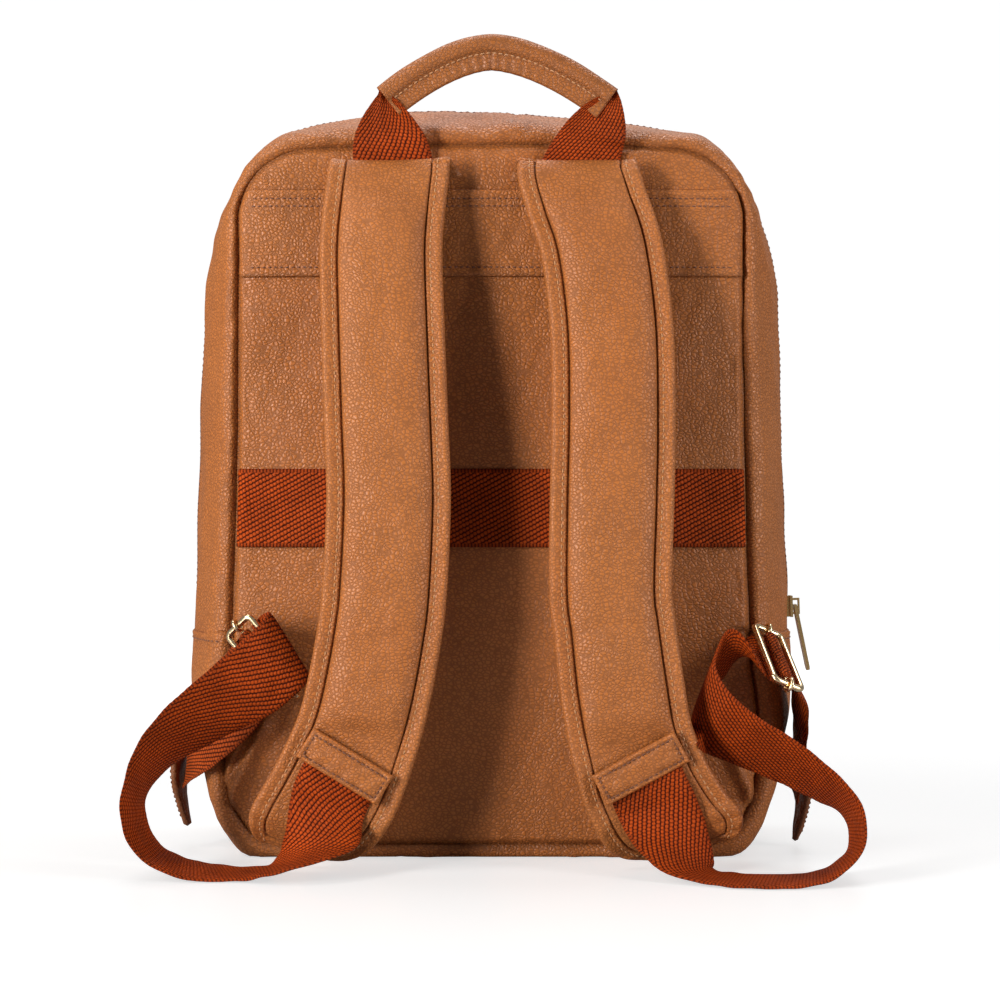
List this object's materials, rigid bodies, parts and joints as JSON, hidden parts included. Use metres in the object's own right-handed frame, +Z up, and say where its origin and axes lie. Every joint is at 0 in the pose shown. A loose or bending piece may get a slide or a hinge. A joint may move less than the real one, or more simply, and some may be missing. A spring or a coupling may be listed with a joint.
{
  "type": "backpack",
  "caption": "Leather backpack with padded webbing straps, rolled top handle, zipped panels, trolley webbing and wire adjusters.",
  "frame": {"origin": "centre of the base, on the surface the bag stands on", "axes": "+Z up to the handle, -Y towards the wearer's back, +X to the right seen from the wearer's side"},
  "size_m": [0.351, 0.2258, 0.4097],
  "materials": {
    "leather": "pebbled grain, satin",
    "webbing": "twill weave, matte",
    "tape": "woven tape, matte",
    "gold": "polished pale gold",
    "lining": "plain weave, matte",
    "foam": "foam, matte",
    "board": "stiff board, matte"
  },
  "bodies": {
    "bag": {"back_panel": "leather", "back_foam": "foam", "back_lining": "lining", "upper_band": "leather", "trolley_strap": "webbing", "rear_gusset": "leather", "side_panel_left": "leather", "side_panel_right": "leather", "bottom_panel": "leather", "base_board": "board", "front_panel_lower": "leather", "rear_zip_tape": "tape", "rear_zip_teeth": "gold", "laptop_sleeve": "lining", "corner_tab_left": "leather", "corner_tab_right": "leather", "tab_webbing_left": "webbing", "tab_webbing_right": "webbing", "handle_webbing_left": "webbing", "handle_webbing_right": "webbing"},
    "front_flap": {"front_panel_upper": "leather", "front_gusset": "leather", "front_zip_tape": "tape", "front_zip_teeth": "gold", "pocket_tape_upper": "tape", "pocket_tape_lower": "tape", "pocket_teeth_upper": "gold", "pocket_teeth_lower": "gold", "pocket_bag": "lining"},
    "main_slider": {"main_slider": "gold"},
    "main_pull": {"main_pull": "gold"},
    "pocket_slider": {"pocket_slider": "gold"},
    "pocket_pull": {"pocket_pull": "gold"},
    "handle": {"handle_grip": "leather", "handle_core": "webbing"},
    "strap_left": {"strap_face_left": "leather", "strap_backing_left": "leather", "strap_foam_left": "foam", "strap_patch_left": "leather", "strap_webbing_left": "webbing"},
    "adjuster_left": {"adjuster_frame_left": "gold", "adjuster_bar_left": "gold", "adjuster_wrap_left": "webbing"},
    "strap_right": {"strap_face_right": "leather", "strap_backing_right": "leather", "strap_foam_right": "foam", "strap_patch_right": "leather", "strap_webbing_right": "webbing"},
    "adjuster_right": {"adjuster_frame_right": "gold", "adjuster_bar_right": "gold", "adjuster_wrap_right": "webbing"}
  },
  "joints": [
    {"name": "flap_open", "type": "hinge", "parent": "bag", "child": "front_flap", "pos_m": [0, 0.0665, 0.1144], "axis": [-1, 0, 0], "range_deg": [0, 35]},
    {"name": "main_slider_slide", "type": "slide", "parent": "bag", "child": "main_slider", "axis": [-0.0325, 0, 0.9995], "range_m": [0, 0.11]},
    {"name": "main_pull_turn", "type": "hinge", "parent": "main_slider", "child": "main_pull", "pos_m": [0.15844, -0.00897, 0.12368], "axis": [0, -1, 0], "range_deg": [0, 150]},
    {"name": "pocket_slider_slide", "type": "slide", "parent": "front_flap", "child": "pocket_slider", "axis": [-1, 0, 0], "range_m": [0, 0.15]},
    {"name": "pocket_pull_turn", "type": "hinge", "parent": "pocket_slider", "child": "pocket_pull", "pos_m": [0.078, 0.06707, 0.262], "axis": [1, 0, 0], "range_deg": [0, 120]},
    {"name": "handle_turn", "type": "hinge", "parent": "bag", "child": "handle", "pos_m": [0.00325, -0.07, 0.38], "axis": [1, 0, 0], "range_deg": [-60, 70]},
    {"name": "strap_left_swing", "type": "hinge", "parent": "bag", "child": "strap_left", "pos_m": [-0.05, -0.0668, 0.346], "axis": [-1, 0, 0], "range_deg": [0, 20], "deforming": ["strap_webbing_left"]},
    {"name": "adjuster_left_slide", "type": "slide", "parent": "bag", "child": "adjuster_left", "axis": [-0.6785, 0.3609, -0.6398], "range_m": [-0.004, 0.004], "deforming": ["strap_webbing_left", "tab_webbing_left"]},
    {"name": "strap_right_swing", "type": "hinge", "parent": "bag", "child": "strap_right", "pos_m": [0.043, -0.0668, 0.346], "axis": [-1, 0, 0], "range_deg": [0, 20], "deforming": ["strap_webbing_right"]},
    {"name": "adjuster_right_slide", "type": "slide", "parent": "bag", "child": "adjuster_right", "axis": [0.8434, 0.4015, -0.3572], "range_m": [-0.004, 0.004], "deforming": ["strap_webbing_right", "tab_webbing_right"]}
  ]
}
